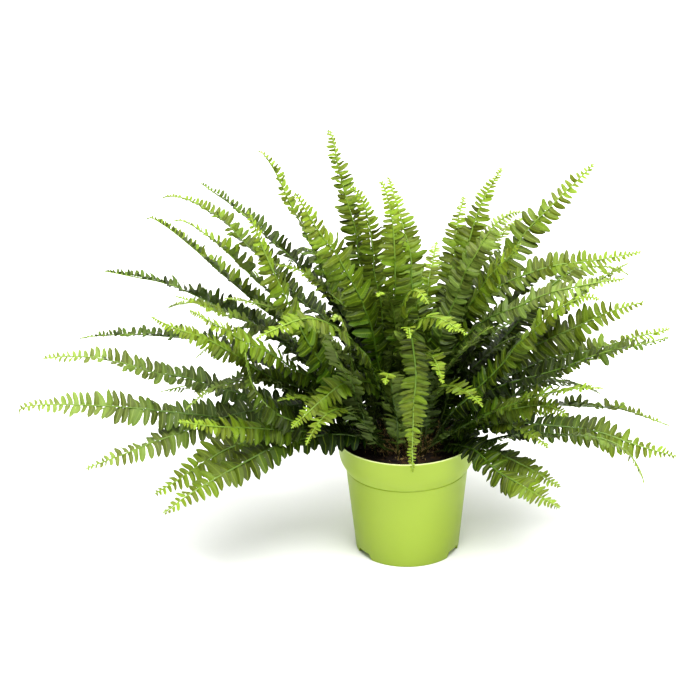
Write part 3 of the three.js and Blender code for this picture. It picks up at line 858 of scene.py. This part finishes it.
# How it hangs: each droops by its own amount and with its neighbours, and sweeps forward.
own_droop = put(blade, "FunctionNodeRandomValue",
                {2: -own_droop_limit, 3: own_droop_limit, "ID": index, "Seed": given["Seed"]})
drift_at = put(blade, "ShaderNodeMath", {0: rank, 1: 5, 2: given["Seed"]}, operation="MULTIPLY_ADD")
drift = put(blade, "ShaderNodeTexNoise", {"W": drift_at, "Scale": 1, "Detail": 1}, noise_dimensions="1D")
swing = put(blade, "ShaderNodeMapRange",
            {"Value": drift, "From Min": 0.3, "From Max": 0.7, "To Min": -shared_droop_limit,
             "To Max": shared_droop_limit})
loose = put(blade, "ShaderNodeMath", {0: own_droop.outputs[1], 1: swing.outputs[0]}, operation="ADD")
droop = put(blade, "ShaderNodeMath", {0: loose, 1: given["Lift"]}, operation="SUBTRACT")
lean = put(blade, "FunctionNodeRandomValue",
           {2: forward_lean[0], 3: forward_lean[1], "ID": index, "Seed": 11})
sweep = put(blade, "ShaderNodeMath", {0: lean.outputs[1], 1: hand.outputs[0]}, operation="MULTIPLY")
forward = put(blade, "ShaderNodeMath", {0: sweep, 1: -1}, operation="MULTIPLY")
tilt = put(blade, "FunctionNodeRandomValue",
           {2: leaflet_tilt[0], 3: leaflet_tilt[1], "ID": index, "Seed": 12})
tilted = put(blade, "ShaderNodeMath", {0: tilt.outputs[1], 1: hand.outputs[0]}, operation="MULTIPLY")
hang = put(blade, "ShaderNodeCombineXYZ", {0: tilted, 1: droop, 2: forward})
hung = put(blade, "FunctionNodeRotateRotation", {0: facing, 1: hang}, rotation_space="LOCAL")

# How large it is: short at the foot of the blade, full in the middle and tiny at the tip.
growing = put(blade, "ShaderNodeMapRange", {"Value": spread, "To Min": 0.62, "To Max": 3.4})
fading = put(blade, "ShaderNodeMapRange", {"Value": spread, "To Min": 3.3, "To Max": 0.08})
tapering = put(blade, "ShaderNodeMath", {0: fading.outputs[0], 1: taper_power}, operation="POWER")
capped = put(blade, "ShaderNodeMath", {0: growing.outputs[0], 1: 1}, operation="MINIMUM")
size = put(blade, "ShaderNodeMath", {0: capped, 1: tapering}, operation="MINIMUM")
luck = put(blade, "FunctionNodeRandomValue",
           {2: leaflet_luck[0], 3: leaflet_luck[1], "ID": index, "Seed": 13})
sized = put(blade, "ShaderNodeMath", {0: size, 1: luck.outputs[1]}, operation="MULTIPLY")
length = put(blade, "ShaderNodeMath", {0: sized, 1: given["Leaflet Length"]}, operation="MULTIPLY")
full = put(blade, "ShaderNodeMapRange", {"Value": spread, "From Min": 0.35, "From Max": 0.8,
                                         "To Min": 0.32, "To Max": 0.27})
broad = put(blade, "ShaderNodeMath", {0: full.outputs[0], 1: given["Breadth"]}, operation="MULTIPLY")
width = put(blade, "ShaderNodeMath", {0: length, 1: broad, 2: least_width}, operation="MULTIPLY_ADD")
scale = put(blade, "ShaderNodeCombineXYZ", {0: length, 1: width, 2: length})

points = put(blade, "GeometryNodeMeshLine", {"Count": given["Leaflets"]})
placed = put(blade, "GeometryNodeSetPosition", {"Geometry": points, "Position": stand.outputs["Position"]})
tone = put(blade, "FunctionNodeRandomValue", {"ID": index, "Seed": 14})
toned = put(blade, "GeometryNodeStoreNamedAttribute",
            {"Geometry": placed, "Name": "tone", "Value": tone.outputs[1]})
shared = put(blade, "GeometryNodeStoreNamedAttribute",
             {"Geometry": toned, "Name": "share", "Value": spread})
kinds = put(blade, "GeometryNodeCollectionInfo",
            {"Collection": given["Patterns"], "Separate Children": True, "Reset Children": True})
drawn = put(blade, "FunctionNodeRandomValue",
            {4: 0, 5: leaflet_kinds - 1, "ID": index, "Seed": given["Seed"]}, data_type="INT")
pair = put(blade, "ShaderNodeMath", {0: drawn, 1: 2, 2: odd}, operation="MULTIPLY_ADD")
leaves = put(blade, "GeometryNodeInstanceOnPoints",
             {"Points": shared, "Instance": kinds, "Pick Instance": True, "Instance Index": pair,
              "Rotation": hung, "Scale": scale})
grown = put(blade, "GeometryNodeRealizeInstances", {"Geometry": leaves})
wind = put(blade, "ShaderNodeTexNoise",
           {"Vector": put(blade, "GeometryNodeInputPosition"), "Scale": stirs_per_metre,
            "Detail": 1})
lively = shaken(blade, grown, wind, leaflet_stir)
leaves_done = put(blade, "GeometryNodeSetMaterial",
                  {"Geometry": lively, "Material": given["Blade Finish"]})
whole = put(blade, "GeometryNodeJoinGeometry")
blade.links.new(rib_done.outputs[0], whole.inputs[0])
blade.links.new(leaves_done.outputs[0], whole.inputs[0])
blade.links.new(hairs_done.outputs[0], whole.inputs[0])

# Points that would pass the box of the solids are moved back onto its faces.
reached = put(blade, "GeometryNodeInputPosition")
held = put(blade, "ShaderNodeVectorMath", {0: reached, 1: given["Lowest"]}, operation="MAXIMUM")
kept = put(blade, "ShaderNodeVectorMath", {0: held, 1: given["Highest"]}, operation="MINIMUM")
inside = put(blade, "GeometryNodeSetPosition", {"Geometry": whole, "Position": kept})
smooth = put(blade, "GeometryNodeSetShadeSmooth", {"Geometry": inside, "Shade Smooth": True})
put(blade, "NodeGroupOutput", {0: smooth})


veins_per_leaflet = 11
light_through = 0.16
tip_colour_power = 2.2
mottle_patch = 7.692 * mm
vein_slant = -0.16


def leaf_finish(name, foot, tip, underside):
    """Living fern leaf: a waxy skin over soft green tissue that glows where light comes through. It
    is darkest near the crown and yellow-green in the new growth at the tip, and paler below."""
    made, tree, skin = new_finish(name)
    output = tree.nodes["Material Output"]
    share = put(tree, "ShaderNodeAttribute", attribute_name="share").outputs["Fac"]
    tone = put(tree, "ShaderNodeAttribute", attribute_name="tone").outputs["Fac"]
    spot = put(tree, "ShaderNodeAttribute", attribute_name="leaflet_place").outputs["Vector"]
    place = put(tree, "ShaderNodeTexCoord").outputs["Object"]
    parts = put(tree, "ShaderNodeSeparateXYZ", {0: spot})
    newness = put(tree, "ShaderNodeMath", {0: share, 1: tip_colour_power}, operation="POWER")
    green = put(tree, "ShaderNodeMix", {0: newness, 6: linear(foot), 7: linear(tip)}, data_type="RGBA")
    mottle = put(tree, "ShaderNodeTexNoise", {"Vector": place, "Scale": 1 / mottle_patch, "Detail": 4})
    mixed = put(tree, "ShaderNodeMath", {0: mottle, 1: tone}, operation="ADD")
    value = put(tree, "ShaderNodeMapRange", {"Value": mixed, "From Min": 0.3, "From Max": 1.7,
                                             "To Min": 0.5, "To Max": 1.5})
    hue = put(tree, "ShaderNodeMapRange", {"Value": tone, "To Min": 0.488, "To Max": 0.512})
    varied = put(tree, "ShaderNodeHueSaturation", {"Color": green.outputs[2], "Hue": hue.outputs[0],
                                                   "Value": value.outputs[0]})
    beside = put(tree, "ShaderNodeMath", {0: parts.outputs[1]}, operation="ABSOLUTE")
    midrib = put(tree, "ShaderNodeMapRange", {"Value": beside, "From Min": 0.05, "From Max": 0.16,
                                              "To Min": 0.45, "To Max": 0}, interpolation_type="SMOOTHSTEP")
    ribbed = put(tree, "ShaderNodeMix", {0: midrib.outputs[0], 6: varied, 7: linear(tip)}, data_type="RGBA")
    slant = put(tree, "ShaderNodeMath", {0: beside, 1: vein_slant, 2: parts.outputs[0]},
                operation="MULTIPLY_ADD")
    beat = put(tree, "ShaderNodeMath", {0: slant, 1: veins_per_leaflet * 2 * pi}, operation="MULTIPLY")
    veins = put(tree, "ShaderNodeMath", {0: beat}, operation="SINE")
    below = put(tree, "ShaderNodeMath", {0: parts.outputs[2], 1: -4}, operation="MULTIPLY")
    under = put(tree, "ShaderNodeClamp", {"Value": below})
    pale = put(tree, "ShaderNodeMath", {0: under, 1: 0.6}, operation="MULTIPLY")
    coloured = put(tree, "ShaderNodeMix", {0: pale, 6: ribbed.outputs[2], 7: linear(underside)},
                   data_type="RGBA")
    glow = put(tree, "ShaderNodeMix", {0: 0.5, 6: coloured.outputs[2], 7: linear("#84A61B")},
               data_type="RGBA")
    relief = put(tree, "ShaderNodeBump", {"Strength": 0.35, "Distance": 0.0003, "Height": veins})
    sheen = put(tree, "ShaderNodeMapRange", {"Value": mottle, "To Min": 0.26, "To Max": 0.48})
    tree.links.new(coloured.outputs[2], skin.inputs["Base Color"])
    tree.links.new(sheen.outputs[0], skin.inputs["Roughness"])
    tree.links.new(relief.outputs[0], skin.inputs["Normal"])
    skin.inputs["IOR"].default_value = 1.4
    skin.inputs["Specular IOR Level"].default_value = 0.38
    through = put(tree, "ShaderNodeBsdfTranslucent", {"Color": glow.outputs[2], "Normal": relief})
    leaf = put(tree, "ShaderNodeMixShader", {0: light_through, 1: skin.outputs[0], 2: through})
    tree.links.new(leaf.outputs[0], output.inputs["Surface"])
    return made


leaf_finishes = {
    "young": leaf_finish("young_leaf", "#2E4804", "#899D2C", "#6A7C38"),
    "grown": leaf_finish("grown_leaf", "#162A01", "#849828", "#4C5F26"),
    "dark": leaf_finish("dark_leaf", "#0E1C01", "#607422", "#384A1E"),
    # Pale: partly a greyer real tone, partly painted sheen; its pale grey-green tip stands in for gloss.
    "pale": leaf_finish("pale_leaf", "#2C420C", "#8E9F4A", "#6A7A44"),
}

# The stalk is smooth and hard, brown where it leaves the crown and green from there on.
stalk_skin, tree, rind = new_finish("stalk_skin")
share = put(tree, "ShaderNodeAttribute", attribute_name="share").outputs["Fac"]
greens = put(tree, "ShaderNodeValToRGB", {"Fac": share})
ramp = greens.color_ramp
ramp.elements[0].color = linear("#3A2C12")
ramp.elements[1].color = linear("#86A03C")
ramp.elements.new(0.08).color = linear("#3E4A1A")
ramp.elements.new(0.3).color = linear("#3E5816")
ramp.elements.new(0.65).color = linear("#54701E")
tree.links.new(greens.outputs[0], rind.inputs["Base Color"])
rind.inputs["Roughness"].default_value = 0.42
rind.inputs["IOR"].default_value = 1.45

plan = [(f"frond_{place + 1:02d}", place, *row[:5], True, *row[5:]) for place, row in enumerate(fronds)]
plan += [(f"frond_{place + 1:02d}_young", place, *line, False, young_leaflet, 0, young_lift,
          fronds[place][-1]) for place, *line in young_fronds]
spines = []
for seed, (name, place, heading, reach, tip_height, lean, arch_height, rooted,
           leaflet_length, roll, lift, age) in enumerate(plan):
    spine, spine_length, out = spine_of(name, place, heading, reach, tip_height, lean, arch_height, rooted)
    below = (collar_height - stalk_foot) / spine_length if rooted else 0
    pitch = leaflet_pitch * (leaflet_length / usual_leaflet) ** pitch_power
    grow = spine.modifiers.new("frond", "NODES")
    grow.node_group = blade
    set_inputs(grow, {
        "Leaflets": 2 * round(spine_length * (1 - bare_share) / pitch),
        "Leaflet Length": leaflet_length * mm,
        "Breadth": (leaflet_length / usual_leaflet) ** breadth_power,
        "First Leaflet": below + (1 - below) * bare_share,
        "Foot Share": below,
        "Roll": radians(roll),
        "Lift": radians(lift),
        "Level": (-out.y, out.x, 0),
        "Lowest": cad_box[0],
        "Highest": cad_box[1],
        "Seed": seed + 1,
        "Patterns": patterns,
        "Scale": papery_scale,
        "Blade Finish": leaf_finishes[age],
        "Rib Finish": stalk_skin,
        "Scale Finish": papery_finish,
    })
    spines.append(spine)

sights = bpy.context.evaluated_depsgraph_get()
for (name, place, *_), spine in zip(plan, spines):
    mesh = bpy.data.meshes.new_from_object(spine.evaluated_get(sights))
    mesh.name = name + "_leaflets"
    piece = add_object(mesh.name, mesh)
    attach(piece, "root")
    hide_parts(f"frond_{place + 1:02d}")
for used in (*spines, papery_scale, old_stub):
    bpy.data.objects.remove(used)
for pattern in list(patterns.objects):
    bpy.data.objects.remove(pattern)
bpy.data.collections.remove(patterns)


# ---- Floor, light and camera ---------------------------------------------------------------------
# A plain pale studio floor, two large soft lights above the front and the back of the plant, and the
# photograph's viewpoint, fitted to the ellipses of the pot's rim, seam and foot.

floor_half = 15
floor_mesh = bpy.data.meshes.new("studio_floor")
floor_mesh.from_pydata([(-floor_half, -floor_half, 0), (floor_half, -floor_half, 0),
                        (floor_half, floor_half, 0), (-floor_half, floor_half, 0)], [], [(0, 1, 2, 3)])
floor = add_object("studio_floor", floor_mesh)
pale_floor, _, boards = new_finish("pale_floor")
boards.inputs["Base Color"].default_value = linear("#F4F4F2")
boards.inputs["Roughness"].default_value = 0.9
floor.data.materials.append(pale_floor)

world = bpy.data.worlds.new("studio")
bpy.context.scene.world = world
world.use_nodes = True
world.node_tree.nodes["Background"].inputs["Color"].default_value = linear("#F6F8FA")
world.node_tree.nodes["Background"].inputs["Strength"].default_value = 0.44


lit_point = Vector((0, 0, 0.2))


def softbox(name, place, size, power):
    data = bpy.data.lights.new(name, "AREA")
    data.shape = "RECTANGLE"
    data.size, data.size_y = size
    data.energy = power
    lamp = add_object(name, data)
    aim = lit_point - Vector(place)
    lamp.matrix_world = Matrix.Translation(place) @ aim.to_track_quat("-Z", "Y").to_matrix().to_4x4()


softbox("key", (0.3, -0.9, 2.2), (1.8, 1.4), 86)
softbox("sky", (0.1, 0.9, 2.6), (5.0, 4.4), 122)

view_distance = 1.8
view_down = radians(27.857)
view_roll = radians(-0.208)
view_right = radians(-1.639)
view_up = radians(5.46)
focal_pixels = 2039.408
photo_width = 696
sensor_width = 36
forward = Vector((0, cos(view_down), -sin(view_down)))
right = Vector((1, 0, 0))
upward = right.cross(forward)
eye = -forward * view_distance
forward, right = (forward * cos(view_right) + right * sin(view_right),
                  right * cos(view_right) - forward * sin(view_right))
forward, upward = (forward * cos(view_up) + upward * sin(view_up),
                   upward * cos(view_up) - forward * sin(view_up))
right, upward = (right * cos(view_roll) + upward * sin(view_roll),
                 upward * cos(view_roll) - right * sin(view_roll))
camera_data = bpy.data.cameras.new("camera")
camera_data.sensor_width = sensor_width
camera_data.lens = focal_pixels * sensor_width / photo_width
camera = add_object("camera", camera_data)
camera.matrix_world = Matrix.Translation(eye) @ Matrix((right, upward, -forward)).transposed().to_4x4()
bpy.context.scene.camera = camera
bpy.context.scene.view_settings.view_transform = "Standard"
bpy.context.scene.view_settings.look = "Medium High Contrast"
